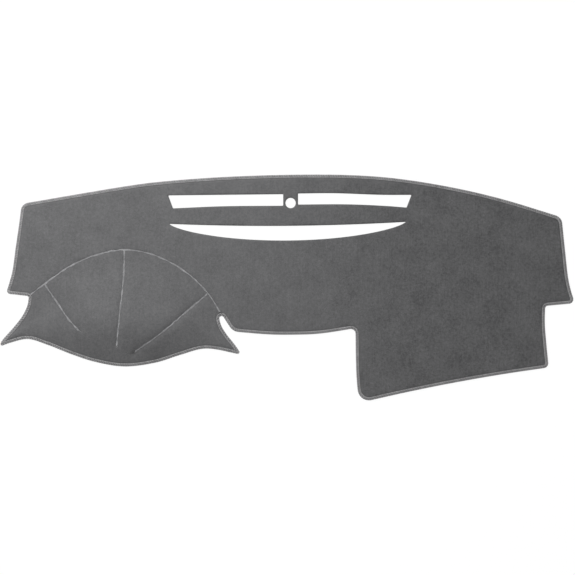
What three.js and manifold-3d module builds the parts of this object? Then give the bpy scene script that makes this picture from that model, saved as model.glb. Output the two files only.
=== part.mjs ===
// A dashboard cover mat: a cut felt panel with a sewn instrument hood, laid out flat.
// Millimetres. Pattern places are measured from the centre of the sensor hole:
// x towards the passenger's side, y towards the windscreen, z up from the table.
import * as THREE from "three";
import Module from "manifold-3d";
import { mergeVertices } from "three/addons/utils/BufferGeometryUtils.js";

const wasm = await Module();
wasm.setup();

// Felt and the thread edging that wraps its cut edge
const feltThickness = 4;
const edgingWidth = 9;
const edgingThread = 0.6;
const edgingRounding = 0.8;
const edgingSqueeze = 1.5;
const seatGap = 0.3;

// Zigzag stitching that closes the hood seam and the three darts
const stitchLength = 5;
const stitchReach = 1.5;
const stitchThread = 1.2;
const stitchSunk = 0.9;
const stitchProud = 0.5;
const panelGap = 0.4;

// The hood stands up from its flat hem: steeply from its free edge, gently from its seam
const hoodHeight = 36;
const hoodHem = 16;
const hoodRiseFromEdge = 75;
const hoodRiseFromSeam = 190;
const dartValley = 3;
const dartValleyReach = 14;
const hoodGrid = 18;

// Holes for the light sensor and the two defroster grilles beside it
const sensorHoleRadius = 13.2;
const sensorStrip = 5.4;
const slotStart = sensorHoleRadius + sensorStrip;
const leftSlotLength = 292;
const rightSlotLength = 288;
const slotEndSlant = 12.5;
const slotCornerRound = 1.8;

// The curved air vent opening below the defroster slots
const ventLength = 599;
const ventMiddle = [-7.7, -50.2];
const ventTilt = 5.1;
const ventUpperSag = 7.5;
const ventLowerSag = 45;
const ventFullness = 0.7;

// How finely curves are drawn, and how far a drawn edge may stray from its curve
const fineStep = 1.5;
const strayLimit = 0.25;
const longestStep = 40;

// How far the mat reaches from the sensor hole: left to the wing's tip, right to the foot on the
// passenger's side, and down to the bottom of the flap
const leftReach = 740.8;
const rightReach = 720.9;
const flapDrop = 506.9;

// How far in from those ends the left foot and the two windscreen corners lie
const leftFootInset = 19.1;
const leftCornerInset = 58.8;
const rightCornerInset = 33.7;

// Corners of the sewn outline, walked with the felt on the left. Each has its place, its
// rounding, and the side that follows it as [share of the way, distance inside the straight line].
const outlineCorners = [
  {
    name: "windscreenLeft",
    at: [-leftReach + leftCornerInset, -1.6],
    round: 22,
    side: [[0.2, 2.2], [0.5, 4.3], [0.76, 6]],
  },
  { name: "leftFoot", at: [-leftReach + leftFootInset, -229.7], round: 9, side: [] },
  {
    name: "leftNotch",
    at: [-663.4, -236.1],
    round: 5,
    side: [[0.15, 8.5], [0.35, 11.2], [0.6, 6.5], [0.75, 2.2], [0.87, -0.9]],
  },
  {
    name: "leftWing",
    at: [-leftReach, -365.6],
    round: 4.8,
    side: [
      [0.05, 12.4],
      [0.12, 22.8],
      [0.2, 10.2],
      [0.3, -12],
      [0.4, -29.8],
      [0.52, -39],
      [0.65, -26.5],
      [0.75, -5],
      [0.85, 12.5],
    ],
  },
  {
    name: "rightWing",
    at: [-124.1, -384.6],
    round: 5,
    side: [[0.2, 3.5], [0.44, 10.7], [0.62, 12.5], [0.78, 7.3]],
  },
  { name: "notchEnd", at: [-189.9, -254.7], round: 5.6, side: [[0.5, -1.1]] },
  { name: "dashLowerLeft", at: [-146.4, -326], round: 30, side: [[0.3, -9.8], [0.5, -12.1], [0.7, -11.2]] },
  { name: "dashLowerRight", at: [164.3, -317.8], round: 12, side: [[0.4, -2.8], [0.7, -3.4]] },
  { name: "flapLowerLeft", at: [173.8, -flapDrop], round: 29, side: [[0.25, 4.5], [0.5, 6.1], [0.75, 4.6]] },
  { name: "flapLowerRight", at: [654.6, -416.9], round: 13, side: [[0.4, 2.6], [0.7, 3.4]] },
  { name: "rightNotch", at: [645.5, -261.1], round: 7.5, side: [] },
  { name: "rightFoot", at: [rightReach, -254.2], round: 12, side: [[0.15, 5.1], [0.3, 7.1], [0.6, 4.4]] },
  {
    name: "windscreenRight",
    at: [rightReach - rightCornerInset, -35.7],
    round: 24,
    side: [
      [0.12, -45.1],
      [0.22, -72.1],
      [0.32, -89],
      [0.42, -93.3],
      [0.6, -83.3],
      [0.74, -65.4],
      [0.8, -52.9],
    ],
  },
];
const corner = Object.fromEntries(outlineCorners.map(({ name, at }) => [name, at]));

// The arched seam between the panels, from the left notch into the notch beside the right wing
const seamPlaces = [
  corner.leftNotch,
  [-622, -204],
  [-560, -161],
  [-500, -134],
  [-430, -119],
  [-370, -125],
  [-300, -153],
  [-236, -200],
  [-195, -250],
  [-175.6, -284],
];

// Each dart leaves the seam at a share of the seam's length and runs to its point near the free edge
const dartPlaces = {
  left: { from: 0.085, through: [[-588, -257], [-560, -296], [-537, -321]] },
  centre: { from: 0.468, through: [[-423, -190], [-429, -262], [-439, -358]] },
  right: { from: 0.89, through: [[-262, -274], [-330, -332], [-399, -380]] },
};

const point = (x, y) => new THREE.Vector2(x, y);

// A smooth curve through the places
function curveThrough(places) {
  const stops = places.map(([x, y]) => new THREE.Vector3(x, y, 0));
  return new THREE.CatmullRomCurve3(stops, false, "centripetal");
}

// Points along a curve between two lengths measured from its start
function drawCurve(curve, from, to, step) {
  const whole = curve.getLength();
  const count = Math.max(2, Math.ceil((to - from) / step));
  const points = [];
  for (let i = 0; i <= count; i++) {
    const place = curve.getPointAt((from + ((to - from) * i) / count) / whole);
    points.push(point(place.x, place.y));
  }
  return points;
}

// The curve of one side of a loop, bowed as its list says
function sideCurve(corner, next) {
  const start = point(...corner.at);
  const along = point(...next.at).sub(start);
  const inward = point(-along.y, along.x).normalize();
  const bows = corner.side.map(([share, inside]) => {
    const place = start.clone().addScaledVector(along, share).addScaledVector(inward, inside);
    return [place.x, place.y];
  });
  return curveThrough([corner.at, ...bows, next.at]);
}

// A closed loop of points, with each corner rounded between its two sides
function roundedLoop(corners) {
  const sides = corners.map((corner, i) => sideCurve(corner, corners[(i + 1) % corners.length]));
  const trims = corners.map((corner, i) => {
    const turn = sides.at(i - 1).getTangentAt(1).angleTo(sides[i].getTangentAt(0));
    return corner.round * Math.tan(turn / 2);
  });
  const loop = [];
  sides.forEach((side, i) => {
    const after = (i + 1) % sides.length;
    const end = side.getLength() - trims[after];
    loop.push(...drawCurve(side, trims[i], end, fineStep));
    const arc = cornerArc(side, end, sides[after], trims[after]);
    loop.push(...arc.getSpacedPoints(Math.ceil(arc.getLength() / fineStep)).slice(1, -1));
  });
  return loop;
}

// The arc from one side at a length along it to the next side at a length along that
function cornerArc(side, end, next, start) {
  const leave = end / side.getLength();
  const join = start / next.getLength();
  const from = side.getPointAt(leave);
  const to = next.getPointAt(join);
  const out = side.getTangentAt(leave);
  const into = next.getTangentAt(join);
  const turn = out.angleTo(into);
  const radius = from.distanceTo(to) / (2 * Math.sin(turn / 2));
  const reach = (4 / 3) * Math.tan(turn / 4) * radius;
  return new THREE.CubicBezierCurve(
    point(from.x, from.y),
    point(from.x + out.x * reach, from.y + out.y * reach),
    point(to.x - into.x * reach, to.y - into.y * reach),
    point(to.x, to.y),
  );
}

// The distance from a place to a drawn line
function distanceTo(line, x, y, closed) {
  let least = Infinity;
  for (let i = closed ? 0 : 1; i < line.length; i++) {
    const a = line.at(i - 1);
    const b = line[i];
    const dx = b.x - a.x;
    const dy = b.y - a.y;
    const share = ((x - a.x) * dx + (y - a.y) * dy) / (dx * dx + dy * dy);
    const held = Math.min(1, Math.max(0, share));
    least = Math.min(least, Math.hypot(x - a.x - dx * held, y - a.y - dy * held));
  }
  return least;
}

// A loop moved inwards by a distance, less the points that crossed over at tight corners
function inset(loop, distance) {
  const slack = 0.03;
  return loop
    .map((here, i) => {
      const along = loop[(i + 1) % loop.length].clone().sub(loop.at(i - 1)).normalize();
      return point(here.x - along.y * distance, here.y + along.x * distance);
    })
    .filter((moved) => distanceTo(loop, moved.x, moved.y, true) > distance - slack);
}

// The same line with only the points that its shape needs, both ends among them
function thinned(line) {
  const kept = [line[0]];
  let start = 0;
  while (start < line.length - 1) {
    let end = start + 1;
    while (end < line.length - 1 && isNearlyStraight(line, start, end + 1)) end++;
    kept.push(line[end]);
    start = end;
  }
  return kept;
}

function isNearlyStraight(line, start, end) {
  const chord = [line[start], line[end]];
  const between = line.slice(start + 1, end);
  const isShort = chord[0].distanceTo(chord[1]) < longestStep;
  return isShort && between.every((p) => distanceTo(chord, p.x, p.y, false) < strayLimit);
}

function toSolid(geometry) {
  const bare = geometry.clone();
  bare.deleteAttribute("normal");
  bare.deleteAttribute("uv");
  const merged = mergeVertices(bare, 1e-4);
  const mesh = new wasm.Mesh({
    numProp: 3,
    vertProperties: merged.attributes.position.array,
    triVerts: new Uint32Array(merged.index.array),
  });
  return new wasm.Manifold(mesh);
}

function toGeometry(solid) {
  const mesh = solid.getMesh();
  const geometry = new THREE.BufferGeometry();
  geometry.setAttribute("position", new THREE.BufferAttribute(mesh.vertProperties, 3));
  geometry.setIndex(new THREE.BufferAttribute(mesh.triVerts, 1));
  geometry.computeVertexNormals();
  return geometry;
}

// An upright solid over a loop, from one height to another
function prism(loop, low, high) {
  const shape = new THREE.Shape(loop);
  const geometry = new THREE.ExtrudeGeometry(shape, { depth: high - low, bevelEnabled: false });
  return toSolid(geometry.translate(0, 0, low));
}

// The loop round a band of even width along an open line, with mitred bends
function bandAlong(line, width) {
  const sideAt = (i, hand) => {
    const before = line[i].clone().sub(line[Math.max(0, i - 1)]);
    const after = line[Math.min(line.length - 1, i + 1)].clone().sub(line[i]);
    const a = (before.lengthSq() > 0 ? before : after).clone().normalize();
    const b = (after.lengthSq() > 0 ? after : before).clone().normalize();
    const middle = a.clone().add(b).normalize();
    const mitre = (hand * width) / 2 / middle.dot(a);
    return point(line[i].x - middle.y * mitre, line[i].y + middle.x * mitre);
  };
  const right = line.map((_, i) => sideAt(i, -1));
  const left = line.map((_, i) => sideAt(i, 1));
  return [...right, ...left.reverse()];
}

// A zigzag of stitches along an open line, one stitch to each side in turn
function zigzag(line) {
  const lengths = [0];
  line.slice(1).forEach((p, i) => lengths.push(lengths[i] + p.distanceTo(line[i])));
  const count = Math.floor(lengths.at(-1) / stitchLength);
  const stitches = [];
  let k = 0;
  for (let n = 0; n <= count; n++) {
    const along = n * stitchLength;
    while (k < line.length - 2 && lengths[k + 1] < along) k++;
    const way = line[k + 1].clone().sub(line[k]).normalize();
    const place = line[k].clone().addScaledVector(way, along - lengths[k]);
    const hand = n % 2 === 0 ? stitchReach : -stitchReach;
    stitches.push(point(place.x - way.y * hand, place.y + way.x * hand));
  }
  return stitches;
}

// Outlines
const outline = roundedLoop(outlineCorners);
const ends = { min: point(Infinity, Infinity), max: point(-Infinity, -Infinity) };
outline.forEach((p) => {
  ends.min.min(p);
  ends.max.max(p);
});
const margin = 50;

const edgingInner = inset(outline, edgingWidth);
const feltInner = inset(outline, edgingWidth + seatGap);
const tongueEdge = inset(outline, edgingThread + seatGap);
const tongueLow = edgingThread + seatGap;
const tongueHigh = tongueLow + feltThickness - edgingSqueeze;
const edgingTop = tongueHigh + seatGap + edgingThread;

// The seam and the darts as drawn lines
const drawn = (places) => {
  const curve = curveThrough(places);
  return drawCurve(curve, 0, curve.getLength(), fineStep);
};
const seamLine = drawn(seamPlaces);
const dartLine = ({ from, through }) => {
  const start = curveThrough(seamPlaces).getPointAt(from);
  return drawn([[start.x, start.y], ...through]);
};
const darts = Object.fromEntries(Object.entries(dartPlaces).map(([side, dart]) => [side, dartLine(dart)]));

// The hood's part of the pattern, reaching past the free edge and back through the right notch
function hoodRegion(offset) {
  const seam = thinned(seamLine);
  const moved = seam.map((here, i) => {
    const before = seam[Math.max(0, i - 1)];
    const after = seam[Math.min(seam.length - 1, i + 1)];
    const along = after.clone().sub(before).normalize();
    return point(here.x - along.y * offset, here.y + along.x * offset);
  });
  const notchWay = [corner.dashLowerLeft, corner.rightWing].map(([x, y]) => point(x, y));
  const throughNotch = notchWay[0].clone().add(notchWay[1]).multiplyScalar(0.5);
  const low = ends.min.y - margin;
  return [
    ...moved,
    throughNotch,
    point(notchWay[1].x + margin, notchWay[1].y),
    point(notchWay[1].x + margin, low),
    point(ends.min.x - margin, low),
    point(ends.min.x - margin, corner.leftNotch[1]),
  ];
}

// Rises from 0 to 1 with no kink at either end
const ease = (t) => {
  const held = Math.min(1, Math.max(0, t));
  return held * held * (3 - 2 * held);
};

// Height of the felt's underside: up from the hem and from the seam, with a valley at each dart
function hoodRise(x, y) {
  const fromEdge = ease((distanceTo(outline, x, y, true) - hoodHem) / hoodRiseFromEdge);
  const fromSeam = ease(distanceTo(seamLine, x, y, false) / hoodRiseFromSeam);
  const swell = hoodHeight * fromEdge * fromSeam;
  const away = Math.min(...Object.values(darts).map((line) => distanceTo(line, x, y, false)));
  return swell - Math.min(swell, dartValley) * Math.exp(-((away / dartValleyReach) ** 2));
}

// Places of an even grid over the hood, with the rise at each
const gridLine = (low, high) => {
  const count = Math.ceil((high - low) / hoodGrid);
  return Array.from({ length: count + 1 }, (_, i) => low + ((high - low) * i) / count);
};
const gridX = gridLine(ends.min.x - hoodHem, corner.rightWing[0] + hoodHem);
const hoodTop = Math.max(...seamLine.map((p) => p.y)) + hoodHem;
const gridY = gridLine(Math.min(...darts.centre.map((p) => p.y)) - hoodRiseFromEdge, hoodTop);
const rises = gridX.map((x) => gridY.map((y) => hoodRise(x, y)));

// A closed sheet over the grid between two heights above the felt's underside
function risenSheet(low, high) {
  const rows = gridY.length;
  const layer = gridX.length * rows;
  const positions = [];
  for (const lift of [low, high]) {
    gridX.forEach((x, i) => gridY.forEach((y, j) => positions.push(x, y, rises[i][j] + lift)));
  }
  const faces = [];
  const quad = (a, b, c, d) => faces.push(a, b, c, a, c, d);
  for (let i = 0; i < gridX.length - 1; i++) {
    for (let j = 0; j < rows - 1; j++) {
      const [a, b, c, d] = [i * rows + j, (i + 1) * rows + j, (i + 1) * rows + j + 1, i * rows + j + 1];
      quad(layer + a, layer + b, layer + c, layer + d);
      quad(a, d, c, b);
    }
  }
  for (let i = 0; i < gridX.length - 1; i++) {
    const [near, nearNext] = [i * rows, (i + 1) * rows];
    const [far, farNext] = [near + rows - 1, nearNext + rows - 1];
    quad(near, nearNext, layer + nearNext, layer + near);
    quad(farNext, far, layer + far, layer + farNext);
  }
  for (let j = 0; j < rows - 1; j++) {
    const right = (gridX.length - 1) * rows + j;
    quad(right, right + 1, layer + right + 1, layer + right);
    quad(j + 1, j, layer + j, layer + j + 1);
  }
  const geometry = new THREE.BufferGeometry();
  geometry.setAttribute("position", new THREE.Float32BufferAttribute(positions, 3));
  geometry.setIndex(faces);
  return toSolid(geometry);
}

// A cut-out of four corners: outer top, outer bottom, inner bottom, inner top
function slotLoop(places, sides) {
  return roundedLoop(places.map((at, i) => ({ at, round: slotCornerRound, side: sides[i] })));
}

const leftSlotEnd = -slotStart - leftSlotLength;
const leftSlot = slotLoop(
  [
    [leftSlotEnd, 19.5],
    [leftSlotEnd + slotEndSlant, -13.7],
    [-slotStart, -7.1],
    [-slotStart, 22.6],
  ],
  [[], [[0.45, 2.3]], [], []],
);

const rightSlotEnd = slotStart + rightSlotLength;
const rightSlot = slotLoop(
  [
    [slotStart, 24.3],
    [slotStart, -4.1],
    [rightSlotEnd - slotEndSlant, -11.7],
    [rightSlotEnd, 20.8],
  ],
  [[], [[0.45, 4], [0.8, 2.7]], [], [[0.25, 0.8], [0.69, -1.9]]],
);

// The vent's upper edge sags a little and its lower edge a lot, fuller than a parabola
function ventLoop() {
  const count = 120;
  const edge = (turn, sag, power) => {
    const across = -Math.cos(turn);
    const chord = ventMiddle[1] + (ventTilt / 2) * across;
    const depth = sag * (1 - across * across) ** power;
    return point(ventMiddle[0] + (ventLength / 2) * across, chord - depth);
  };
  const loop = [];
  for (let i = 0; i < count; i++) loop.push(edge((Math.PI * i) / count, ventLowerSag, ventFullness));
  for (let i = count; i > 0; i--) loop.push(edge((Math.PI * i) / count, ventUpperSag, 1));
  return loop;
}

function circleLoop(radius) {
  const steps = Math.ceil((2 * Math.PI * radius) / fineStep);
  return new THREE.EllipseCurve(0, 0, radius, radius, 0, 2 * Math.PI).getPoints(steps).slice(1);
}

const above = edgingTop + hoodHeight + margin;
const below = -margin;
const flat = (loop, low, high) => prism(thinned(loop), low, high);

// Channels that the stitches pull into the felt, and the stitches lying in them
const stitchWidth = 2 * stitchReach + stitchThread;
const channelWidth = stitchWidth + 2 * (seatGap + strayLimit);
const channelOf = (line) => prism(bandAlong(thinned(line), channelWidth), below, above);
const seamChannel = channelOf(seamLine);
const dartChannels = Object.values(darts).map(channelOf);

const feltSlab = flat(feltInner, 0, feltThickness);
const channelFloor = feltThickness - stitchSunk;

// The main panel: felt, its squeezed edge, and everything cut out of it
function mainPanel() {
  const tongue = flat(tongueEdge, tongueLow, tongueHigh);
  let panel = feltSlab.add(tongue);
  panel = panel.subtract(prism(hoodRegion(panelGap / 2), below, above));
  for (const loop of [circleLoop(sensorHoleRadius), leftSlot, rightSlot, ventLoop()]) {
    panel = panel.subtract(flat(loop, below, above));
  }
  const sunk = seamChannel.intersect(prism(feltInner, channelFloor, above));
  return panel.subtract(sunk);
}

// The hood panel: a risen sheet of felt with a flat hem, cut by its seam and darts
function hoodPanel() {
  const hem = flat(inset(outline, (edgingWidth + hoodHem) / 2), below, above);
  const tongue = flat(tongueEdge, tongueLow, tongueHigh).subtract(hem);
  const felt = risenSheet(0, feltThickness).intersect(flat(feltInner, below, above));
  const sheetAbove = risenSheet(channelFloor, above);
  let panel = felt.add(tongue).intersect(prism(hoodRegion(-panelGap / 2), below, above));
  panel = panel.subtract(seamChannel.intersect(prism(feltInner, channelFloor, above)));
  for (const channel of dartChannels) {
    panel = panel.subtract(channel.intersect(sheetAbove));
  }
  return panel;
}

// The overlocked edging: thread wrapped over, round and under the squeezed edge
function edging() {
  const geometry = new THREE.ExtrudeGeometry(new THREE.Shape(thinned(inset(outline, edgingRounding))), {
    depth: edgingTop - 2 * edgingRounding,
    bevelThickness: edgingRounding,
    bevelSize: edgingRounding,
    bevelSegments: 1,
  });
  const wrapped = toSolid(geometry.translate(0, 0, edgingRounding));
  const middle = flat(edgingInner, below, above);
  const held = flat(inset(outline, edgingThread), edgingThread, edgingTop - edgingThread);
  return wrapped.subtract(middle).subtract(held);
}

// Stitches along the seam, clear of the edging at both ends
function seamStitches() {
  const clear = edgingWidth + seatGap + stitchWidth;
  const line = seamLine.filter((p) => distanceTo(outline, p.x, p.y, true) > clear);
  return prism(bandAlong(zigzag(line), stitchThread), channelFloor + seatGap, feltThickness + stitchProud);
}

// Stitches along a dart, which follow the risen felt and start clear of the seam's
function dartStitches(dart) {
  const line = dart.filter((p) => distanceTo(seamLine, p.x, p.y, false) > stitchWidth + seatGap);
  const lying = risenSheet(channelFloor + seatGap, feltThickness + stitchProud);
  return lying.intersect(prism(bandAlong(zigzag(line), stitchThread), below, above));
}

const felt = new THREE.MeshStandardMaterial({ color: "#69696b", roughness: 0.95, metalness: 0 });
const thread = new THREE.MeshStandardMaterial({ color: "#9b9b9c", roughness: 0.8, metalness: 0 });

function piece(name, solid, material) {
  const mesh = new THREE.Mesh(toGeometry(solid), material);
  mesh.name = name;
  return mesh;
}

const mat = new THREE.Group();
mat.add(piece("main_panel", mainPanel(), felt));
mat.add(piece("instrument_hood_panel", hoodPanel(), felt));
mat.add(piece("edge_overlock", edging(), thread));
mat.add(piece("hood_seam_thread", seamStitches(), thread));
for (const [side, line] of Object.entries(darts)) {
  mat.add(piece(`dart_thread_${side}`, dartStitches(line), thread));
}

// The origin is the bottom centre of the whole mat
mat.position.set(-(ends.min.x + ends.max.x) / 2, -(ends.min.y + ends.max.y) / 2, 0);

export default mat;
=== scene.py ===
import math

import bpy
import numpy as np
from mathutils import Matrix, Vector
from mathutils.geometry import delaunay_2d_cdt


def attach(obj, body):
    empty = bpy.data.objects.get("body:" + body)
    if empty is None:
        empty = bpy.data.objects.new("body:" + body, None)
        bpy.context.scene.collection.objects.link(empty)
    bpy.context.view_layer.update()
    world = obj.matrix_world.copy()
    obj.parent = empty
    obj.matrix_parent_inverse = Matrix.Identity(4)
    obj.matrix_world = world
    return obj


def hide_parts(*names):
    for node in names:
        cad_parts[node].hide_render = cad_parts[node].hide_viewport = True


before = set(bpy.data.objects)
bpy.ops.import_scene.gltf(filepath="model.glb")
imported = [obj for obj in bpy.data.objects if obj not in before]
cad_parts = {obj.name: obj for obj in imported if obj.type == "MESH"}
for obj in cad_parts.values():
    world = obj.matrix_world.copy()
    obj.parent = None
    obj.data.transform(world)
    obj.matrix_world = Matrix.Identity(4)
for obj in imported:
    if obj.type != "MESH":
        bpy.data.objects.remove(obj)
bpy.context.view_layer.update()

# A dashboard cover mat of grey needle felt, laid out flat and seen from straight above.
# Pattern places are in millimetres from the centre of the sensor hole, x to the passenger's
# side and y to the windscreen. They become metres in the frame of the CAD as the last step.

mm = 0.001

# The sewn outline, walked with the felt on the left: place, rounding, and the side that follows
# as [share of the way, distance inside the straight line]
pattern = {
    "corners": [
        {"at": (-682, -1.6), "round": 22, "side": [(0.2, 2.2), (0.5, 4.3), (0.76, 6)]},
        {"at": (-721.7, -229.7), "round": 9, "side": []},
        {"at": (-663.4, -236.1), "round": 5, "side": [
            (0.15, 8.5), (0.35, 11.2), (0.6, 6.5), (0.75, 2.2), (0.87, -0.9)]},
        {"at": (-740.8, -365.6), "round": 4.8, "side": [
            (0.05, 12.4), (0.12, 22.8), (0.2, 10.2), (0.3, -12), (0.4, -29.8),
            (0.52, -39), (0.65, -26.5), (0.75, -5), (0.85, 12.5)]},
        {"at": (-124.1, -384.6), "round": 5, "side": [
            (0.2, 3.5), (0.44, 10.7), (0.62, 12.5), (0.78, 7.3)]},
        {"at": (-189.9, -254.7), "round": 5.6, "side": [(0.5, -1.1)]},
        {"at": (-146.4, -326), "round": 30, "side": [(0.3, -9.8), (0.5, -12.1), (0.7, -11.2)]},
        {"at": (164.3, -317.8), "round": 12, "side": [(0.4, -2.8), (0.7, -3.4)]},
        {"at": (173.8, -506.9), "round": 29, "side": [(0.25, 4.5), (0.5, 6.1), (0.75, 4.6)]},
        {"at": (654.6, -416.9), "round": 13, "side": [(0.4, 2.6), (0.7, 3.4)]},
        {"at": (645.5, -261.1), "round": 7.5, "side": []},
        {"at": (720.9, -254.2), "round": 12, "side": [(0.15, 5.1), (0.3, 7.1), (0.6, 4.4)]},
        {"at": (687.2, -35.7), "round": 24, "side": [
            (0.12, -45.1), (0.22, -72.1), (0.32, -89), (0.42, -93.3), (0.6, -83.3),
            (0.74, -65.4), (0.8, -52.9)]},
    ],
    "seam": [(-663.4, -236.1), (-622, -204), (-560, -161), (-500, -134), (-430, -119),
             (-370, -125), (-300, -153), (-236, -200), (-195, -250), (-175.6, -284)],
    "darts": {
        "left": {"from": 0.085, "through": [(-588, -257), (-560, -296), (-537, -321)]},
        "centre": {"from": 0.468, "through": [(-423, -190), (-429, -262), (-439, -358)]},
        "right": {"from": 0.89, "through": [(-262, -274), (-330, -332), (-399, -380)]},
    },
    "notchWay": [(-135, -355), (-74, -385), (-74, -560), (-800, -560), (-800, -236.1)],
    "sensorRadius": 13.2,
    "sensorStrip": 5.4,
    "slotCornerRound": 1.8,
    "slotEndSlant": 12.5,
    "leftSlotLength": 292,
    "rightSlotLength": 288,
    "ventLength": 599,
    "ventMiddle": (-7.7, -50.2),
    "ventTilt": 5.1,
    "ventUpperSag": 7.5,
    "ventLowerSag": 45,
    "ventFullness": 0.7,
    "step": 1.5,
}


# Centripetal Catmull-Rom: each span is a cubic whose end slopes come from the four places round it
def curveThrough(places):
    p = np.array(places, float)
    p = np.vstack([2 * p[0] - p[1], p, 2 * p[-1] - p[-2]])
    gap = np.sqrt(np.linalg.norm(np.diff(p, axis=0), axis=1))[:, None]
    a, b, c = gap[:-2], gap[1:-1], gap[2:]
    p0, p1, p2, p3 = p[:-3], p[1:-2], p[2:-1], p[3:]
    m1 = ((p1 - p0) / a - (p2 - p0) / (a + b) + (p2 - p1) / b) * b
    m2 = ((p2 - p1) / b - (p3 - p1) / (b + c) + (p3 - p2) / c) * b
    t = np.linspace(0, 1, 120, endpoint=False)[None, :, None]
    p1, p2, m1, m2 = (v[:, None, :] for v in (p1, p2, m1, m2))
    spans = p1 + m1 * t + (3 * (p2 - p1) - 2 * m1 - m2) * t ** 2 + (2 * (p1 - p2) + m1 + m2) * t ** 3
    return np.vstack([spans.reshape(-1, 2), p[-2]])


# Running length at each point of a line
def lengthsAlong(line):
    return np.concatenate([[0], np.cumsum(np.linalg.norm(np.diff(line, axis=0), axis=1))])


# Points at even lengths along a line, from one length to another
def evenly(line, start, end, step):
    along = lengthsAlong(line)
    at = np.linspace(start, end, max(2, math.ceil((end - start) / step)) + 1)
    return np.stack([np.interp(at, along, line[:, k]) for k in (0, 1)], 1)


# Unit direction of a line at a length, from the points a little before and after it
def direction(line, at, reach=0.5):
    along = lengthsAlong(line)
    ends = [np.array([np.interp(s, along, line[:, k]) for k in (0, 1)]) for s in (at - reach, at + reach)]
    way = ends[1] - ends[0]
    return way / np.linalg.norm(way)


# A corner's arc is one cubic Bezier, with handles as long as a circle of the same turn needs
def cornerArc(start, out, end, into, step):
    turn = math.acos(np.clip(out @ into, -1, 1))
    radius = np.linalg.norm(end - start) / (2 * math.sin(turn / 2))
    reach = 4 / 3 * math.tan(turn / 4) * radius
    t = np.linspace(0, 1, max(3, math.ceil(turn * radius / step)) + 1)[1:-1, None]
    return ((1 - t) ** 3 * start + 3 * t * (1 - t) ** 2 * (start + out * reach)
            + 3 * t ** 2 * (1 - t) * (end - into * reach) + t ** 3 * end)


# A closed loop through its corners, each rounded between its two bowed sides
def roundedLoop(corners, step):
    sides = []
    for here, after in zip(corners, corners[1:] + corners[:1]):
        start, end = np.array(here["at"], float), np.array(after["at"], float)
        along = end - start
        inward = np.array([-along[1], along[0]]) / np.linalg.norm(along)
        bows = [start + along * share + inward * inside for share, inside in here["side"]]
        sides.append(curveThrough([start, *bows, end]))
    lengths = [lengthsAlong(side)[-1] for side in sides]
    trims = []
    for i, corner in enumerate(corners):
        into, out = direction(sides[i - 1], lengths[i - 1]), direction(sides[i], 0)
        trims.append(corner["round"] * math.tan(math.acos(into @ out) / 2))
    loop = []
    for i, side in enumerate(sides):
        after = (i + 1) % len(sides)
        end = lengths[i] - trims[after]
        loop.append(evenly(side, trims[i], end, step))
        arc = cornerArc(loop[-1][-1], direction(side, end),
                        evenly(sides[after], trims[after], lengths[after], step)[0],
                        direction(sides[after], trims[after]), step)
        loop.append(arc)
    return np.vstack(loop)


# A defroster slot is a rounded loop with small equal corners
def slotLoop(places, sides):
    corners = [{"at": at, "round": pattern["slotCornerRound"], "side": side}
               for at, side in zip(places, sides)]
    return roundedLoop(corners, 1.0)


# The vent opening: both edges are fuller than a parabola, as (1 - u squared) to a power
def ventLoop():
    turn = np.linspace(0, np.pi, 241)
    u = -np.cos(turn)
    x = pattern["ventMiddle"][0] + pattern["ventLength"] / 2 * u
    chord = pattern["ventMiddle"][1] + pattern["ventTilt"] / 2 * u
    swell = np.clip(1 - u ** 2, 0, 1)
    lower = np.stack([x, chord - pattern["ventLowerSag"] * swell ** pattern["ventFullness"]], 1)
    upper = np.stack([x, chord - pattern["ventUpperSag"] * swell], 1)
    return np.vstack([lower[:-1], upper[:0:-1]])


# Points at even turns round a circle
def circleLoop(radius, count):
    turn = np.linspace(0, 2 * np.pi, count, endpoint=False)
    return radius * np.stack([np.cos(turn), np.sin(turn)], 1)


outline = roundedLoop(pattern["corners"], pattern["step"])
seamLine = curveThrough(pattern["seam"])
seamLine = evenly(seamLine, 0, lengthsAlong(seamLine)[-1], pattern["step"])
dartLines = {}
for side, dart in pattern["darts"].items():
    start = seamLine[round(dart["from"] * (len(seamLine) - 1))]
    line = curveThrough([start, *dart["through"]])
    dartLines[side] = evenly(line, 0, lengthsAlong(line)[-1], pattern["step"])

slotStart = pattern["sensorRadius"] + pattern["sensorStrip"]
slotSlant = pattern["slotEndSlant"]
leftEnd = -slotStart - pattern["leftSlotLength"]
rightEnd = slotStart + pattern["rightSlotLength"]
cutOuts = [
    slotLoop([(leftEnd, 19.5), (leftEnd + slotSlant, -13.7), (-slotStart, -7.1), (-slotStart, 22.6)],
             [[], [(0.45, 2.3)], [], []]),
    slotLoop([(slotStart, 24.3), (slotStart, -4.1), (rightEnd - slotSlant, -11.7), (rightEnd, 20.8)],
             [[], [(0.45, 4), (0.8, 2.7)], [], [(0.25, 0.8), (0.69, -1.9)]]),
    circleLoop(pattern["sensorRadius"], 72),
    ventLoop(),
]

# The row's origin is the bottom centre of the outline's box
originShift = -(outline.min(0) + outline.max(0)) / 2
print("outline", outline.shape, "box", outline.min(0), outline.max(0))


# Shortest distance from each point to a line, worked out for all its stretches at once
def distanceTo(line, points, closed):
    a = line if closed else line[:-1]
    b = np.roll(line, -1, 0) if closed else line[1:]
    way = b - a
    square = np.maximum((way ** 2).sum(1), 1e-12)
    found = np.empty(len(points))
    for start in range(0, len(points), 2000):
        p = points[start:start + 2000, None, :] - a
        share = np.clip((p * way).sum(2) / square, 0, 1)
        found[start:start + 2000] = np.sqrt(((p - share[..., None] * way) ** 2).sum(2).min(1))
    return found


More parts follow.
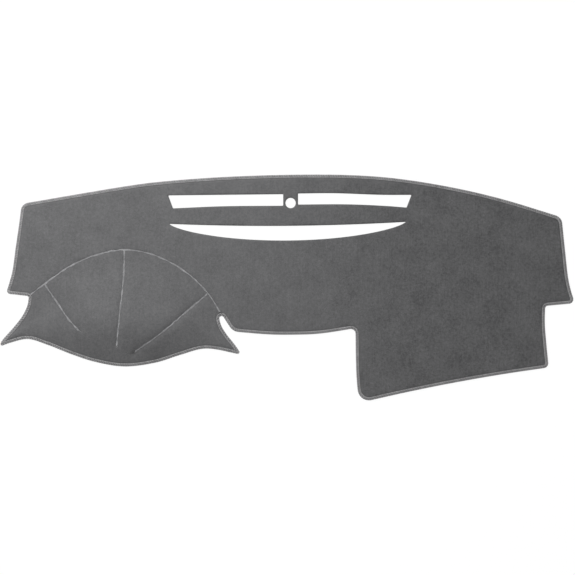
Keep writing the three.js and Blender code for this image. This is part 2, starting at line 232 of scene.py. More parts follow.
# A point is inside a loop if a ray along x from it crosses the loop an odd number of times
def isInside(loop, points):
    a, b = loop, np.roll(loop, -1, 0)
    found = np.empty(len(points), bool)
    for start in range(0, len(points), 4000):
        x, y = points[start:start + 4000, 0, None], points[start:start + 4000, 1, None]
        spans = (a[:, 1] > y) != (b[:, 1] > y)
        climb = np.where(b[:, 1] == a[:, 1], 1e-9, b[:, 1] - a[:, 1])
        cross = a[:, 0] + (y - a[:, 1]) * (b[:, 0] - a[:, 0]) / climb
        found[start:start + 4000] = (spans & (x < cross)).sum(1) % 2 == 1
    return found


# Smooth step: three t squared less two t cubed, between nought and one
def ease(t):
    t = np.clip(t, 0, 1)
    return t * t * (3 - 2 * t)


# How the felt lies: the sewn hood stands up, the rest lies on the table
lie = {
    "thickness": 4.0,
    "hoodHeight": 36.0,
    "hoodHem": 7.0,
    "riseFromEdge": 112.0,
    "riseFromSeam": 190.0,
    "dartValley": 2.6,
    "dartReach": 9.0,
    "dimpleAt": (-398, -381),
    "dimpleDepth": 2.9,
    "dimpleReach": 5.0,
    "waveHeight": 0.45,
    "waveLength": 210.0,
    "waveAcross": {"bend": 1.3, "slow": 0.7},
    "waveAlong": {"stretch": 0.8, "bend": 0.9, "slow": 0.6, "start": 0.7},
    "waveFadeFromSeam": 30.0,
    "creaseY": -3.0,
    "creaseFrom": -655.0,
    "creaseTo": -330.0,
    "creaseSlope": 0.045,
    "creaseFadeIn": 40,
    "creaseFadeOut": 60,
    "stitchPull": 1.4,
    "stitchPullReach": 2.6,
    "grooveDepth": 0.8,
    "grooveFromEdge": 8.6,
    "grooveReach": 1.3,
}
hoodLoop = np.vstack([seamLine, pattern["notchWay"]])
coarseOutline = outline[::2]


# Height of the felt's underside: a dome that climbs from the sewn edge as a quarter sine, with a
# rounded foot, and eases into the seam, less a valley at each dart. On the flat panel it is a
# low wave and the tilt beyond an old fold.
def underside(points):
    fromOutline = distanceTo(coarseOutline, points, True)
    fromSeam = distanceTo(seamLine, points, False)
    onHood = isInside(hoodLoop, points)
    climb = (np.hypot(fromOutline, lie["hoodHem"]) - lie["hoodHem"]) / lie["riseFromEdge"]
    rise = lie["hoodHeight"] * np.sin(np.pi / 2 * np.clip(climb, 0, 1))
    rise *= ease(fromSeam / lie["riseFromSeam"])
    fromDart = np.min([distanceTo(line, points, False) for line in dartLines.values()], axis=0)
    rise -= np.minimum(rise, lie["dartValley"]) * np.exp(-(fromDart / lie["dartReach"]) ** 2)
    fromDimple = np.linalg.norm(points - lie["dimpleAt"], axis=1)
    rise -= np.minimum(rise, lie["dimpleDepth"]) * np.exp(-(fromDimple / lie["dimpleReach"]) ** 2)
    x, y = points[:, 0], points[:, 1]
    k = 2 * np.pi / lie["waveLength"]
    across, along = lie["waveAcross"], lie["waveAlong"]
    # two crossed sines, each bent by a slower one
    wave = np.sin(k * x + across["bend"] * np.sin(k * y * across["slow"]))
    bent = along["bend"] * np.sin(k * x * along["slow"])
    wave = wave * np.sin(k * along["stretch"] * y + bent + along["start"])
    wave = lie["waveHeight"] * (1 + wave)
    beyond = np.clip(y - lie["creaseY"], 0, None)
    window = ease((x - lie["creaseFrom"]) / lie["creaseFadeIn"])
    window *= ease((lie["creaseTo"] - x) / lie["creaseFadeOut"])
    flat = (wave + lie["creaseSlope"] * beyond * window) * ease(fromSeam / lie["waveFadeFromSeam"])
    return np.where(onHood, rise, flat), fromOutline, fromSeam, fromDart


# A mesh from whole arrays: vertices, then faces of three or four corners
def meshFrom(name, verts, faces, uv=None):
    verts = np.asarray(verts, float).reshape(-1, 3)
    faces = [np.asarray(f, np.int32) for f in (faces if isinstance(faces, list) else [faces])]
    corners = np.concatenate([f.ravel() for f in faces])
    totals = np.concatenate([np.full(len(f), f.shape[1], np.int32) for f in faces])
    mesh = bpy.data.meshes.new(name)
    mesh.vertices.add(len(verts))
    mesh.vertices.foreach_set("co", verts.ravel())
    mesh.loops.add(len(corners))
    mesh.loops.foreach_set("vertex_index", corners)
    mesh.polygons.add(len(totals))
    mesh.polygons.foreach_set("loop_start", np.concatenate([[0], np.cumsum(totals)[:-1]]).astype(np.int32))
    mesh.polygons.foreach_set("use_smooth", np.ones(len(totals), bool))
    mesh.update(calc_edges=True)
    if uv is not None:
        layer = mesh.uv_layers.new(name="along")
        layer.data.foreach_set("uv", np.asarray(uv, float)[corners].ravel())
    mesh.validate()
    piece = bpy.data.objects.new(name, mesh)
    bpy.context.scene.collection.objects.link(piece)
    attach(piece, "root")
    return piece


# Pattern places and heights in millimetres become metres in the frame
def toFrame(points, heights):
    return np.column_stack([(points + originShift) * mm, heights * mm])


# Felt panels: a triangulated cut shape given a top, an underside and a rounded cut edge
felt = {
    "grid": 4.5,
    "edgeStep": 2.5,
    "tongueInset": 0.9,
    "squeezed": 2.6,
    "squeezeFrom": 6.0,
    "squeezeTo": 12.0,
    "squeezeLift": 0.8,
    "cutRound": 0.7,
    "cutTopShare": 0.55,
    "cutBaseShare": 0.25,
    "cutBulgeShare": 0.35,
    "cutHigh": 0.62,
    "cutLow": 0.28,
    "panelGap": 0.2,
    "rings": (3.2, 5.4, 7.2, 8.6, 10.0, 12.2),
    "rows": (0.0, 1.4, 2.8, 4.6),
    "rowEnd": 15.0,
    "rowEndPoints": 9,
    "merge": 1.2,
    "clear": 2.4,
    "rimClear": 1.0,
    "crossSlack": 0.03,
}


# Unit directions square to a loop, towards its inside
def inward(loop):
    way = np.roll(loop, -1, 0) - np.roll(loop, 1, 0)
    way /= np.linalg.norm(way, axis=1)[:, None]
    return np.stack([-way[:, 1], way[:, 0]], 1)


# A loop moved inwards, less the points that cross over at tight corners
def inset(loop, distance):
    moved = loop + inward(loop) * distance
    return moved[distanceTo(loop, moved, True) > distance - felt["crossSlack"]]


# A closed loop's points again, at even lengths
def closedEvenly(loop, step):
    ring = np.vstack([loop, loop[:1]])
    return evenly(ring, 0, lengthsAlong(ring)[-1], step)[:-1]


# Splits the cut shape at the seam: the points of the outer loop on one side, then the seam
def panelLoop(onHood):
    edge = closedEvenly(inset(outline, felt["tongueInset"]), felt["edgeStep"])
    offset = felt["panelGap"] * (1 if onHood else -1)
    way = np.gradient(seamLine, axis=0)
    way /= np.linalg.norm(way, axis=1)[:, None]
    # walked from the left notch to the right one, the main panel is on the left of the seam
    seam = seamLine + np.stack([way[:, 1], -way[:, 0]], 1) * offset
    seam = seam[isInside(edge, seam)]
    seam = evenly(seam, 0, lengthsAlong(seam)[-1], felt["edgeStep"])
    mine = isInside(hoodLoop, edge) == onHood
    clear = distanceTo(seam, edge, False) > felt["rimClear"]
    keep = mine & clear
    # start just after the stretch that belongs to the other panel
    starts = np.flatnonzero(keep & ~np.roll(keep, 1))
    first = starts[np.argmax([np.argmin(np.roll(keep, -s)) for s in starts])]
    edge, keep = np.roll(edge, -first, 0), np.roll(keep, -first)
    edge = edge[:np.argmin(keep)] if not keep.all() else edge
    near = np.linalg.norm(seam[0] - edge[-1]) < np.linalg.norm(seam[-1] - edge[-1])
    return np.vstack([edge, seam if near else seam[::-1]])


# Closer points where stitches pull the felt down: rings inside the sewn edge, and rows on both
# sides of the seam and of each dart, which run on past the dart's point
def stitchRows():
    found = [closedEvenly(inset(outline, depth), felt["edgeStep"]) for depth in felt["rings"]]
    for line in (seamLine, *dartLines.values()):
        way = line[-1] - line[-3]
        further = np.linspace(0, felt["rowEnd"], felt["rowEndPoints"])[1:, None]
        further = further * way / np.linalg.norm(way)
        line = np.vstack([line, line[-1] + further])
        way = np.gradient(line, axis=0)
        way /= np.linalg.norm(way, axis=1)[:, None]
        across = np.stack([-way[:, 1], way[:, 0]], 1)
        found += [line + across * offset * side for offset in felt["rows"] for side in (-1, 1)]
    found = np.vstack(found)
    # one point is kept in each small square, where rings and rows cross
    first = np.unique(np.round(found / felt["merge"]), axis=0, return_index=True)[1]
    return found[first]


# Delaunay triangles of the loops and a staggered grid, less those outside the shape or in a hole
def triangulated(outer, holes):
    low, high = outer.min(0), outer.max(0)
    rowGap = felt["grid"] * math.sqrt(3) / 2
    ys = np.arange(low[1], high[1], rowGap)
    xs = np.arange(low[0], high[0], felt["grid"])
    gx, gy = np.meshgrid(xs, ys)
    gx = gx + (np.arange(len(ys)) % 2)[:, None] * felt["grid"] / 2
    grid = np.stack([gx.ravel(), gy.ravel()], 1)
    grid = grid[isInside(outer, grid)]
    grid = grid[distanceTo(coarseOutline, grid, True) > felt["rings"][-1] + felt["clear"]]
    for line in (seamLine, *dartLines.values()):
        grid = grid[distanceTo(line, grid, False) > felt["rows"][-1] + felt["clear"]]
    grid = np.vstack([grid, stitchRows()])
    grid = grid[isInside(outer, grid)]
    for hole in holes:
        grid = grid[~isInside(hole, grid)]
        grid = grid[distanceTo(hole, grid, True) > felt["clear"]]
    grid = grid[distanceTo(outer, grid, True) > felt["rimClear"]]
    rows, points, edges = [outer, *holes], [], []
    for loop in rows:
        first = sum(map(len, points))
        index = np.arange(len(loop))
        edges.append(np.stack([first + index, first + (index + 1) % len(loop)], 1))
        points.append(loop)
    points = np.vstack([*points, grid])
    places = [Vector(place) for place in points.tolist()]
    made = delaunay_2d_cdt(places, np.vstack(edges).tolist(), [], 0, 1e-6, False)
    flat = np.array([tuple(v) for v in made[0]])
    tris = np.array([f for f in made[2] if len(f) == 3])
    middle = flat[tris].mean(1)
    keep = isInside(outer, middle)
    for hole in holes:
        keep &= ~isInside(hole, middle)
    tris = tris[keep]
    a, b, c = (flat[tris[:, k]] for k in range(3))
    turned = (b - a)[:, 0] * (c - a)[:, 1] - (b - a)[:, 1] * (c - a)[:, 0] < 0
    tris[turned] = tris[turned][:, ::-1]
    used, back = np.unique(tris, return_inverse=True)
    return flat[used], back.reshape(-1, 3)


# The rim is the triangle sides that only one triangle has
def rimEdges(tris):
    sides = np.vstack([tris[:, [0, 1]], tris[:, [1, 2]], tris[:, [2, 0]]])
    keys = np.sort(sides, 1)
    _, index, count = np.unique(keys, axis=0, return_index=True, return_counts=True)
    return sides[index[count == 1]]


# A panel's top is its underside plus the felt's thickness, less the squeeze under the overlock,
# the pull of the seams and the groove inside the overlock. Walls with a soft bulge join the two.
def feltPanel(name, outer, holes):
    flat, tris = triangulated(outer, holes)
    low, fromOutline, fromSeam, fromDart = underside(flat)
    squeeze = 1 - ease((fromOutline - felt["squeezeFrom"]) / (felt["squeezeTo"] - felt["squeezeFrom"]))
    pull = lie["stitchPull"] * (np.exp(-(fromSeam / lie["stitchPullReach"]) ** 2)
                                + np.exp(-(fromDart / lie["stitchPullReach"]) ** 2))
    fromGroove = (fromOutline - lie["grooveFromEdge"]) / lie["grooveReach"]
    pull += lie["grooveDepth"] * np.exp(-fromGroove ** 2)
    thick = lie["thickness"] - (lie["thickness"] - felt["squeezed"]) * squeeze - pull
    base = low + squeeze * felt["squeezeLift"]
    rim = rimEdges(tris)
    count = len(flat)
    # outward directions at the rim, summed from the edges that meet at each vertex
    way = flat[rim[:, 1]] - flat[rim[:, 0]]
    out = np.stack([way[:, 1], -way[:, 0]], 1)
    outward = np.zeros((count, 2))
    np.add.at(outward, rim[:, 0], out)
    np.add.at(outward, rim[:, 1], out)
    size = np.linalg.norm(outward, axis=1)
    outward[size > 0] /= size[size > 0][:, None]
    top = base + thick
    ids, pos = np.unique(rim, return_inverse=True)
    pos = pos.reshape(-1, 2)
    drop = felt["cutRound"]
    topZ, baseZ = top.copy(), base.copy()
    topZ[ids] -= drop * felt["cutTopShare"]
    baseZ[ids] += drop * felt["cutBaseShare"]
    bulge = flat[ids] + outward[ids] * drop * felt["cutBulgeShare"]
    wallHigh = toFrame(bulge, base[ids] + thick[ids] * felt["cutHigh"])
    wallLow = toFrame(bulge, base[ids] + thick[ids] * felt["cutLow"])
    verts = np.vstack([toFrame(flat, topZ), toFrame(flat, baseZ), wallHigh, wallLow])
    a, b = rim[:, 0], rim[:, 1]
    ha, hb = 2 * count + pos[:, 0], 2 * count + pos[:, 1]
    la, lb = ha + len(ids), hb + len(ids)
    walls = np.vstack([np.stack([b, a, ha, hb], 1), np.stack([hb, ha, la, lb], 1),
                       np.stack([lb, la, a + count, b + count], 1)])
    return meshFrom(name, verts, [tris, tris[:, ::-1] + count, walls])


# Tubes along many paths at once: a ring of sides at each path point, square to the path and
# turned to a reference direction, with a centre point closing each open end
def tubes(name, paths, radius, reference, sides, closed=False):
    count, steps, _ = paths.shape
    if closed:
        way = np.roll(paths, -1, 1) - np.roll(paths, 1, 1)
    else:
        way = np.gradient(paths, axis=1)
    way /= np.linalg.norm(way, axis=2)[..., None]
    up = reference - (reference * way).sum(2)[..., None] * way
    up /= np.linalg.norm(up, axis=2)[..., None]
    side = np.cross(way, up)
    turn = np.linspace(0, 2 * np.pi, sides, endpoint=False)
    ring = np.cos(turn)[:, None] * up[:, :, None, :] + np.sin(turn)[:, None] * side[:, :, None, :]
    wide = np.broadcast_to(radius, (count, steps))[:, :, None, None]
    verts = paths[:, :, None, :] + ring * wide
    along = np.cumsum(np.linalg.norm(np.diff(paths, axis=1, prepend=paths[:, :1]), axis=2), axis=1)
    uv = np.stack(np.broadcast_arrays(along[:, :, None], turn / (2 * np.pi)), -1).reshape(-1, 2)
    index = np.arange(count * steps * sides).reshape(count, steps, sides)
    nearer = index if closed else index[:, :-1]
    further = np.roll(index, -1, 1) if closed else index[:, 1:]
    quads = np.stack([nearer, np.roll(nearer, -1, 2), np.roll(further, -1, 2), further], -1).reshape(-1, 4)
    if closed:
        return meshFrom(name, verts, quads, uv)
    first = count * steps * sides
    tips = np.stack([paths[:, 0], paths[:, -1]], 1).reshape(-1, 3)
    tipUv = np.stack([along[:, 0], along[:, -1]], 1).reshape(-1, 1) * [1, 0]
    startTip = first + 2 * np.arange(count)[:, None] + np.zeros(sides, int)
    starts = np.stack([index[:, 0], startTip, np.roll(index[:, 0], -1, 1)], -1).reshape(-1, 3)
    ends = np.stack([np.roll(index[:, -1], -1, 1), startTip + 1, index[:, -1]], -1).reshape(-1, 3)
    verts = np.vstack([verts.reshape(-1, 3), tips])
    return meshFrom(name, verts, [quads, starts, ends], np.vstack([uv, tipUv]))


# Places along the sewn edge: the outline at a length, moved inwards by a depth that shrinks
# where the felt narrows to a wing's tip, and lifted from the underside of the felt there
edgeAlong = np.concatenate([lengthsAlong(outline), [0]])
edgeAlong[-1] = edgeAlong[-2] + np.linalg.norm(outline[0] - outline[-1])
edgeTotal = edgeAlong[-1]
edgeInward = inward(outline)


# The widest depth at each outline point whose inset place isn't nearer to another side
def widestInset(widest=11, step=0.5, slack=0.12):
    depths = np.arange(1.0, widest + 0.01, step)
    reach = np.full(len(outline), depths[-1])
    for depth in depths[::-1]:
        moved = outline + edgeInward * depth
        crossed = distanceTo(coarseOutline, moved, True) < depth - slack
        reach[crossed] = depth - step
    return reach


edgeReach = widestInset()
narrowShare = 0.86


# Values kept at the outline's points, read at lengths round it
def roundEdge(at, values):
    return np.interp(at, edgeAlong, np.append(values, values[0]))


# Frame places at lengths, depths and heights along the edge, with the edge's own direction
def onEdge(at, depth, height):
    shape = at.shape
    at = np.mod(at.ravel(), edgeTotal)
    place = np.stack([roundEdge(at, outline[:, k]) for k in (0, 1)], 1)
    inwardAt = np.stack([roundEdge(at, edgeInward[:, k]) for k in (0, 1)], 1)
    depth = np.broadcast_to(depth, shape).ravel()
    reach = roundEdge(at, edgeReach)
    points = place + inwardAt * np.minimum(depth, reach * narrowShare)[:, None]
    low = underside(points)[0]
    made = toFrame(points, low + np.broadcast_to(height, shape).ravel())
    tangent = np.stack([inwardAt[:, 1], -inwardAt[:, 0], np.zeros(len(at))], 1)
    return made.reshape(*shape, 3), tangent.reshape(*shape, 3)


# The overlock stitch: looper threads slant between a needle line and the felt's edge, over and
# under, and lock there in a chain
overlock = {
    "pitch": 6.2,
    "needleDepth": 7.0,
    "needleHeight": 3.4,
    "arch": 1.2,
    "rimFall": 1.0,
    "bottom": 1.0,
    "underRise": 0.5,
    "underShare": 0.8,
    "strokeRadius": 1.0,
    "returnRadius": 0.6,
    "returnBelow": 0.25,
    "lean": 0.42,
    "rimDepth": 1.0,
    "rimHeight": 2.3,
    "rimRadius": 0.95,
    "rimSwing": 0.12,
    "lineRadius": 0.75,
    "lineSwing": 0.25,
    "lineLift": 0.12,
    "lineSwell": 0.22,
    "swellPhase": 0.6,
    "strokeSteps": 8,
    "underSteps": 5,
    "strokeSides": 6,
    "lineStep": 1.3,
    "lineSides": 7,
}


# Each stroke arches from the needle line over the edge's roll, or runs flat beneath it. The
# stroke that leans forwards is full. The one that leans back is thinner and lies under it.
def overlockStrokes(name, over):
    count = int(edgeTotal / overlock["pitch"])
    pitch = edgeTotal / count
    t = np.linspace(0, 1, overlock["strokeSteps"] if over else overlock["underSteps"])
    depth = overlock["needleDepth"] * (1 - t) + overlock["rimDepth"] * t
    if over:
        height = overlock["needleHeight"] + overlock["arch"] * np.sin(np.pi * t)
        height = height - overlock["rimFall"] * t
    else:
        height = overlock["bottom"] + overlock["underRise"] * t
    side = 1 if over else -1
    share = 1 if over else overlock["underShare"]
    firsts = np.arange(count)[:, None] * pitch
    paths, ways, radii = [], [], []
    for lean, radius, below in ((1, overlock["strokeRadius"], 0),
                                (-1, overlock["returnRadius"], overlock["returnBelow"] * side)):
        at = firsts + pitch * (0.5 - overlock["lean"] * lean * (1 - t) * side)
        path, way = onEdge(at, depth, height - below)
        paths.append(path)
        ways.append(way)
        radii.append(np.full((count, 1), radius * share * mm))
    paths, ways, radii = (np.concatenate(part) for part in (paths, ways, radii))
    return tubes(name, paths, radii, ways, overlock["strokeSides"])


# A chain that runs along the edge at one depth: its radius and its place swing once a stitch
def chainAlong(name, depth, height, radius, swing):
    steps = int(edgeTotal / overlock["lineStep"])
    at = np.arange(steps)[None] * edgeTotal / steps
    stitches = int(edgeTotal / overlock["pitch"])
    phase = 2 * np.pi * stitches * at / edgeTotal
    lifted = height + overlock["lineLift"] * np.cos(phase)
    paths, _ = onEdge(at, depth + swing * np.sin(phase), lifted)
    upward = np.zeros_like(paths)
    upward[..., 2] = 1
    wide = radius * mm * (1 + overlock["lineSwell"] * np.cos(phase + overlock["swellPhase"]))
    return tubes(name, paths, wide, upward, overlock["lineSides"], closed=True)


# Zigzag thread over a closed seam: it swings from side to side and dips where it enters the felt
zigzag = {
    "pitch": 2.9,
    "reach": 2.1,
    "unevenness": 0.35,
    "unevenOver": 7.3,
    "unevenBend": 1.7,
    "unevenBendOver": 19.0,
    "wander": 0.15,
    "wanderOver": 13.0,
    "radius": 0.6,
    "stepsPerPitch": 8,
    "sides": 6,
    "lift": 0.3,
    "sunkShare": 0.55,
    "seamEnds": (6.0, 9.0),
    "dartStart": 1.0,
    "dartEnds": {"left": 0.0, "centre": 0.0, "right": 12.0},
}


def zigzagOver(name, line, start, end):
    along = lengthsAlong(line)
    end = along[-1] - end
    steps = int((end - start) / zigzag["pitch"] * zigzag["stepsPerPitch"])
    at = np.linspace(start, end, steps)
    place = np.stack([np.interp(at, along, line[:, k]) for k in (0, 1)], 1)
    way = np.gradient(place, axis=0)
    way /= np.linalg.norm(way, axis=1)[:, None]
    phase = 2 * np.pi * at / zigzag["pitch"]
    swing = np.arcsin(np.sin(phase)) / (np.pi / 2)
    # the hand-fed stitches are wider and narrower by turns, and wander off the line
    bend = zigzag["unevenBend"] * np.sin(at / zigzag["unevenBendOver"])
    uneven = np.sin(at / zigzag["unevenOver"] + bend)
    across = swing * (1 + zigzag["unevenness"] * uneven)
    across = across + zigzag["wander"] * np.sin(at / zigzag["wanderOver"] + 2 * uneven)
    across *= zigzag["reach"]
    points = place + np.stack([-way[:, 1], way[:, 0]], 1) * across[:, None]
    low = underside(points)[0]
    sunk = lie["stitchPull"] * zigzag["sunkShare"]
    height = lie["thickness"] - sunk + zigzag["lift"] * (1 - swing ** 2)
    paths = toFrame(points, low + height)[None]
    upward = np.zeros_like(paths)
    upward[..., 2] = 1
    return tubes(name, paths, zigzag["radius"] * mm, upward, zigzag["sides"])


# The thread's end at a dart point: a small locking loop, then a free tail that lies on the felt
tail = {
    "loop": 1.6,
    "turns": 1.6,
    "loopShare": 0.55,
    "length": 4.5,
    "bend": 2.5,
    "bendShare": 0.8,
    "restHeight": 0.8,
    "crossing": 1.2,
    "radius": 0.5,
    "steps": 40,
    "sides": 6,
}


def threadTail(name, line):
    end = line[-1]
    way = (line[-1] - line[-5]) / np.linalg.norm(line[-1] - line[-5])
    side = np.array([-way[1], way[0]])
    t = np.linspace(0, 1, tail["steps"])
    turn = 2 * np.pi * tail["turns"] * np.minimum(t / tail["loopShare"], 1)
    free = np.clip((t - tail["loopShare"]) / (1 - tail["loopShare"]), 0, 1)
    ahead = tail["loop"] * (1 - np.cos(turn)) + tail["length"] * free
    across = tail["loop"] * np.sin(turn) + tail["bend"] * np.sin(np.pi * free * tail["bendShare"])
    points = end + ahead[:, None] * way + across[:, None] * side
    crossing = tail["crossing"] * (1 - free) * np.sin(turn / 2) ** 2
    height = lie["thickness"] + tail["radius"] * (tail["restHeight"] + crossing)
    paths = toFrame(points, underside(points)[0] + height)[None]
    upward = np.zeros_like(paths)
    upward[..., 2] = 1
    return tubes(name, paths, tail["radius"] * mm, upward, tail["sides"])


# Colours are written as sRGB hex and turned to linear here
def colour(code):
    values = np.array([int(code[i:i + 2], 16) for i in (1, 3, 5)]) / 255
    linear = np.where(values <= 0.04045, values / 12.92, ((values + 0.055) / 1.055) ** 2.4)
    return (*linear, 1.0)


# Adds one node, sets its sockets and properties, and links what is given as (node, output)
def addNode(tree, kind, links=None, **settings):
    node = tree.nodes.new(kind)
    for key, value in settings.items():
        if hasattr(node, key):
            setattr(node, key, value)
        else:
            node.inputs[key.replace("_", " ")].default_value = value
    for socket, (source, output) in (links or {}).items():
        tree.links.new(source.outputs[output], node.inputs[socket])
    return node


# A material with an empty node tree
def newMaterial(name):
    material = bpy.data.materials.new(name)
    material.use_nodes = True
    material.node_tree.nodes.clear()
    return material, material.node_tree


# Needle-punched polyester felt: crimped staple fibres in two greys matted by barbed needles,
# so it has no shine, a heather of light and dark fibres, and a faint grain along the punching.
# Towards the passenger's side the tint is painted darker, as painted shade that carries the key lamp's
# falloff further, and the speckle there has more contrast.
feltLook = {
    "dark": "#3c3c3d",
    "light": "#868687",
    "hairs": 0.6,
    "fibre": 2.4,
    "tuft": 6.5,
    "patch": 70.0,
    "streakAcross": 3.5,
    "streakAlong": 42.0,
    "driftFrom": -0.13,
    "driftTo": 0.42,
    "contrast": (1.05, 1.35),
    "paintedShadeLevel": (0.457, 0.343),
}


def feltMaterial():
    material, tree = newMaterial("needle_felt_grey_polyester")
    place = addNode(tree, "ShaderNodeTexCoord")
    streakPlace = addNode(tree, "ShaderNodeMapping", {"Vector": (place, "Object")})
    streakPlace.inputs["Scale"].default_value = (
        1000 / feltLook["streakAcross"], 1000 / feltLook["streakAlong"], 1000 / feltLook["streakAlong"])
    noises = {}
    for name, detail in (("hairs", 3.0), ("fibre", 5.0), ("tuft", 3.0), ("patch", 2.0)):
        noises[name] = addNode(tree, "ShaderNodeTexNoise", {"Vector": (place, "Object")},
                               Scale=1000 / feltLook[name], Detail=detail, Roughness=0.65)
    noises["streak"] = addNode(tree, "ShaderNodeTexNoise", {"Vector": (streakPlace, "Vector")},
                               Scale=1.0, Detail=3.0)
    # the weighted sum of the noises, less half of all the weights, so that its middle is nought
    shares = {"hairs": 0.2, "fibre": 0.55, "tuft": 0.4, "streak": 0.14, "patch": 0.24}
    total = addNode(tree, "ShaderNodeValue")
    total.outputs[0].default_value = -sum(shares.values()) / 2
    for name, share in shares.items():
        total = addNode(tree, "ShaderNodeMath", {0: (noises[name], "Fac"), 2: (total, 0)},
                        operation="MULTIPLY_ADD")
        total.inputs[1].default_value = share
    axes = addNode(tree, "ShaderNodeSeparateXYZ", {"Vector": (place, "Object")})
    # the level drift is painted shade: the tint darkens towards the passenger's side to carry on the key
    # lamp's falloff; the contrast drift makes the speckle stronger there
    drifts = {}
    for name in ("contrast", "paintedShadeLevel"):
        drift = addNode(tree, "ShaderNodeMapRange", {"Value": (axes, "X")}, interpolation_type="SMOOTHSTEP")
        drift.inputs["From Min"].default_value = feltLook["driftFrom"]
        drift.inputs["From Max"].default_value = feltLook["driftTo"]
        drift.inputs["To Min"].default_value = feltLook[name][0]
        drift.inputs["To Max"].default_value = feltLook[name][1]
        drifts[name] = drift
    drifted = {0: (total, 0), 1: (drifts["contrast"], 0), 2: (drifts["paintedShadeLevel"], 0)}
    share = addNode(tree, "ShaderNodeMath", drifted, operation="MULTIPLY_ADD")
    tint = addNode(tree, "ShaderNodeMix", {"Factor": (share, 0)}, data_type="RGBA")
    tint.inputs[6].default_value = colour(feltLook["dark"])
    tint.inputs[7].default_value = colour(feltLook["light"])
    height = addNode(tree, "ShaderNodeMath", {0: (noises["hairs"], "Fac"), 1: (noises["fibre"], "Fac")},
                     operation="ADD")
    bump = addNode(tree, "ShaderNodeBump", {"Height": (height, 0)}, Strength=0.4, Distance=0.0005)
    finish = {"Base Color": (tint, 2), "Normal": (bump, "Normal")}
    shader = addNode(tree, "ShaderNodeBsdfPrincipled", finish, Roughness=0.95, IOR=1.45)
    shader.inputs["Specular IOR Level"].default_value = 0.15
    shader.inputs["Sheen Weight"].default_value = 0.12
    shader.inputs["Sheen Roughness"].default_value = 0.5
    addNode(tree, "ShaderNodeOutputMaterial", {"Surface": (shader, "BSDF")})
    return material


# Textured polyester overlock yarn: crimped filaments twisted loosely, lighter than the felt
threadLook = {"dark": "#8c8b8c", "light": "#b9b8b9", "twist": 1.6, "blotch": 9.0}
# The spun sewing thread of the seam and darts has the same twist and more uneven greys
seamLook = {"dark": "#878789", "light": "#c1c1c3"}


# Thread: a blotchy tint between two greys, with the twist of its plies as a fine slanting bump
def threadMaterial(name, look):
    material, tree = newMaterial(name)
    place = addNode(tree, "ShaderNodeTexCoord")
    blotch = addNode(tree, "ShaderNodeTexNoise", {"Vector": (place, "Object")},
                     Scale=1000 / threadLook["blotch"], Detail=4.0, Roughness=0.7)
    twist = addNode(tree, "ShaderNodeMapping", {"Vector": (place, "UV")},
                    Scale=(1000 / threadLook["twist"], 1.0, 1.0))
    strand = addNode(tree, "ShaderNodeTexWave", {"Vector": (twist, "Vector")}, wave_type="BANDS",
                     bands_direction="DIAGONAL", Scale=0.32, Distortion=0.6)
    share = addNode(tree, "ShaderNodeMapRange", {"Value": (blotch, "Fac")})
    share.inputs["From Min"].default_value = 0.3
    share.inputs["From Max"].default_value = 0.7
    tint = addNode(tree, "ShaderNodeMix", {"Factor": (share, 0)}, data_type="RGBA")
    tint.inputs[6].default_value = colour(look["dark"])
    tint.inputs[7].default_value = colour(look["light"])
    bump = addNode(tree, "ShaderNodeBump", {"Height": (strand, "Fac")}, Strength=0.5, Distance=0.0002)
    finish = {"Base Color": (tint, 2), "Normal": (bump, "Normal")}
    shader = addNode(tree, "ShaderNodeBsdfPrincipled", finish, Roughness=0.72, IOR=1.5)
    shader.inputs["Specular IOR Level"].default_value = 0.3
    shader.inputs["Sheen Weight"].default_value = 0.1
    addNode(tree, "ShaderNodeOutputMaterial", {"Surface": (shader, "BSDF")})
    return material


# The camera looks straight down. The photograph shows this many millimetres a pixel, and its
# sensor hole is at this pixel.
view = {
    "pixelMm": 2.5343,
    "sensorPixel": (290.6, 203.0),
    "pixels": 575,
    "distance": 6.0,
    "sensorWidth": 36.0,
}


# The lens shows as many millimetres across as the photograph does, at the height of the felt's top
def makeCamera():
    middle = view["pixels"] / 2
    x = (middle - view["sensorPixel"][0]) * view["pixelMm"]
    y = (view["sensorPixel"][1] - middle) * view["pixelMm"]
    data = bpy.data.cameras.new("camera")
    data.sensor_width = view["sensorWidth"]
    span = view["pixels"] * view["pixelMm"] * mm
    height = view["distance"]
    data.lens = view["sensorWidth"] * (height - lie["thickness"] * mm) / span
    camera = bpy.data.objects.new("camera", data)
    camera.location = (*((np.array([x, y]) + originShift) * mm), height)
    bpy.context.scene.collection.objects.link(camera)
    bpy.context.scene.camera = camera


# A large soft lamp stands beyond the windscreen edge, to the left, and a white world lights the rest
studio = {
    "keyPlace": (-1.05, 1.25, 1.1),
    "keySize": 0.9,
    "keyWatts": 25.0,
    "worldStrength": 0.6,
    "floorWhite": "#f4f4f4",
    "floorShare": 0.9,
    "floorGlow": 1.04,
    "floorReach": 6.0,
}


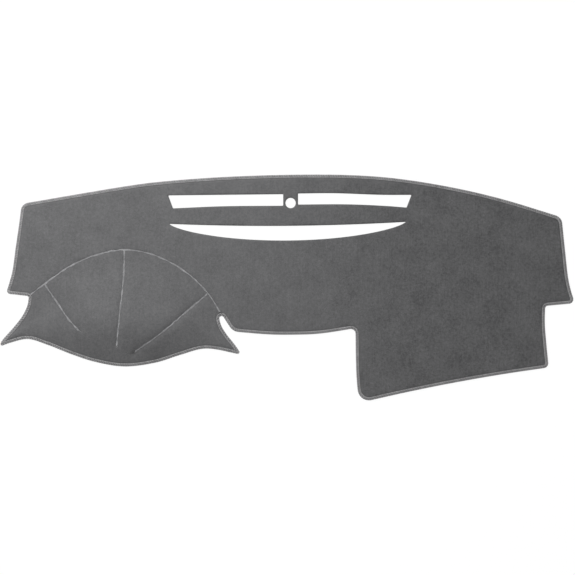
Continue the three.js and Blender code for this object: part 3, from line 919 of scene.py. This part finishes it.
# The world is plain white to the camera and dimmer as a light. The white floor glows a little
# where the camera sees it, and still shows the shadows.
def makeStudio():
    lamp = bpy.data.lights.new("key", "AREA")
    lamp.size = studio["keySize"]
    lamp.energy = studio["keyWatts"]
    key = bpy.data.objects.new("key", lamp)
    key.location = studio["keyPlace"]
    key.rotation_euler = (-Vector(studio["keyPlace"])).to_track_quat("-Z", "Y").to_euler()
    key.visible_camera = False
    bpy.context.scene.collection.objects.link(key)
    world = bpy.data.worlds.new("world")
    bpy.context.scene.world = world
    world.use_nodes = True
    tree = world.node_tree
    tree.nodes.clear()
    rays = addNode(tree, "ShaderNodeLightPath")
    seen = addNode(tree, "ShaderNodeMath", {0: (rays, "Is Camera Ray"), 1: (rays, "Is Glossy Ray")},
                   operation="MAXIMUM")
    seen = addNode(tree, "ShaderNodeMath", {0: (seen, 0), 1: (rays, "Is Transmission Ray")},
                   operation="MAXIMUM")
    strength = addNode(tree, "ShaderNodeMapRange", {"Value": (seen, 0)})
    strength.inputs["To Min"].default_value = studio["worldStrength"]
    strength.inputs["To Max"].default_value = 1.0
    back = addNode(tree, "ShaderNodeBackground", {"Strength": (strength, 0)})
    back.inputs["Color"].default_value = (1, 1, 1, 1)
    addNode(tree, "ShaderNodeOutputWorld", {"Surface": (back, 0)})
    wide = studio["floorReach"]
    corners = [(-wide, -wide, 0), (wide, -wide, 0), (wide, wide, 0), (-wide, wide, 0)]
    mesh = bpy.data.meshes.new("floor")
    mesh.from_pydata(corners, [], [(0, 1, 2, 3)])
    floor = bpy.data.objects.new("floor", mesh)
    bpy.context.scene.collection.objects.link(floor)
    material, tree = newMaterial("matt_white_paper")
    paper = addNode(tree, "ShaderNodeBsdfDiffuse")
    paper.inputs["Color"].default_value = colour(studio["floorWhite"])
    glow = addNode(tree, "ShaderNodeEmission", Strength=studio["floorGlow"])
    rays = addNode(tree, "ShaderNodeLightPath")
    share = addNode(tree, "ShaderNodeMath", {0: (rays, "Is Camera Ray")}, operation="MULTIPLY")
    share.inputs[1].default_value = studio["floorShare"]
    mixed = addNode(tree, "ShaderNodeMixShader", {0: (share, 0), 1: (paper, 0), 2: (glow, 0)})
    addNode(tree, "ShaderNodeOutputMaterial", {"Surface": (mixed, 0)})
    mesh.materials.append(material)


makeCamera()
makeStudio()
bpy.context.scene.view_settings.view_transform = "Standard"
print("camera and studio made")

feltFinish = feltMaterial()
edgingFinish = threadMaterial("textured_polyester_overlock_yarn", threadLook)
seamFinish = threadMaterial("spun_polyester_sewing_thread", seamLook)

mainPanel = feltPanel("main_panel_felt", panelLoop(False), cutOuts)
hoodPanel = feltPanel("instrument_hood_felt", panelLoop(True), [])
for panel, node in ((mainPanel, "main_panel"), (hoodPanel, "instrument_hood_panel")):
    panel.data.materials.append(feltFinish)
    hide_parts(node)
print("felt panels made", len(mainPanel.data.polygons), len(hoodPanel.data.polygons))

loopers = overlockStrokes("overlock_looper_threads", True)
underLoopers = overlockStrokes("overlock_under_looper_threads", False)
needleLine = chainAlong("overlock_needle_line", overlock["needleDepth"], overlock["needleHeight"],
                        overlock["lineRadius"], overlock["lineSwing"])
underLine = chainAlong("overlock_under_line", overlock["needleDepth"], overlock["bottom"],
                       overlock["lineRadius"], overlock["lineSwing"])
rimChain = chainAlong("overlock_edge_chain", overlock["rimDepth"], overlock["rimHeight"],
                      overlock["rimRadius"], overlock["rimSwing"])
for piece in (loopers, underLoopers, needleLine, underLine, rimChain):
    piece.data.materials.append(edgingFinish)
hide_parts("edge_overlock")
print("edging made", len(loopers.data.polygons), len(underLoopers.data.polygons))

seams = {"hood_seam_thread": (seamLine, *zigzag["seamEnds"])}
for side, line in dartLines.items():
    seams[f"dart_thread_{side}"] = (line, zigzag["dartStart"], zigzag["dartEnds"][side])
for node, (line, start, end) in seams.items():
    thread = zigzagOver(node + "_zigzag", line, start, end)
    thread.data.materials.append(seamFinish)
    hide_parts(node)
for side, line in dartLines.items():
    stitched = evenly(line, 0, lengthsAlong(line)[-1] - zigzag["dartEnds"][side], pattern["step"])
    thread = threadTail(f"dart_tail_{side}", stitched)
    thread.data.materials.append(seamFinish)
print("seams made")


# The two cuts of felt, as the pattern's own loops in millimetres
mainLoop, hoodCut = panelLoop(False), panelLoop(True)
